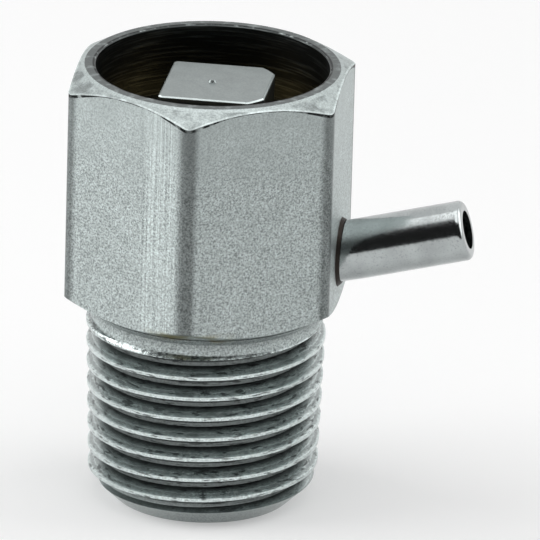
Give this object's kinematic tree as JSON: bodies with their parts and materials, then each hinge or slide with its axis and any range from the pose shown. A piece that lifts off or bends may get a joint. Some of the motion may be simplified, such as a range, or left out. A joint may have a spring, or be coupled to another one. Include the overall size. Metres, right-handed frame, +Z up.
{
  "type": "radiator bleed valve",
  "caption": "Hexagon bleed valve with a tapered pipe thread, a recessed square key spindle, a swivelling seat disc and a slanted side spout.",
  "frame": {"origin": "centre of the threaded end face, on the valve axis", "axes": "+Z up the valve axis from the threaded end to the key end, +X towards the side spout, which lies in the XZ plane"},
  "size_m": [0.0165, 0.0126, 0.0188],
  "materials": {
    "plated_body": "satin nickel plating over brass",
    "plated_tube": "bright nickel plating over brass",
    "plated_spindle": "turned and milled, nickel plated",
    "braze": "dull braze",
    "plain_brass": "turned",
    "seal_rubber": "matt"
  },
  "bodies": {
    "valve": {"valve_body": "plated_body", "spout_tube": "plated_tube", "braze_bead": "braze", "gland_ring": "plain_brass", "gland_washer": "plain_brass", "o_ring": "seal_rubber"},
    "disc": {"disc_holder": "plain_brass", "seat_washer": "seal_rubber"},
    "spindle": {"spindle": "plated_spindle"}
  },
  "joints": [
    {"name": "disc_lift", "type": "slide", "parent": "valve", "child": "disc", "axis": [0, 0, 1], "range_m": [0, 0.00075]},
    {"name": "spindle_turn", "type": "hinge", "parent": "disc", "child": "spindle", "pos_m": [0, 0, 0.0103], "axis": [0, 0, 1], "range_deg": [0, 360]}
  ],
  "couplings": [
    {"joint": "spindle_turn", "follows": "disc_lift", "rad_per_m": 8377.6}
  ]
}
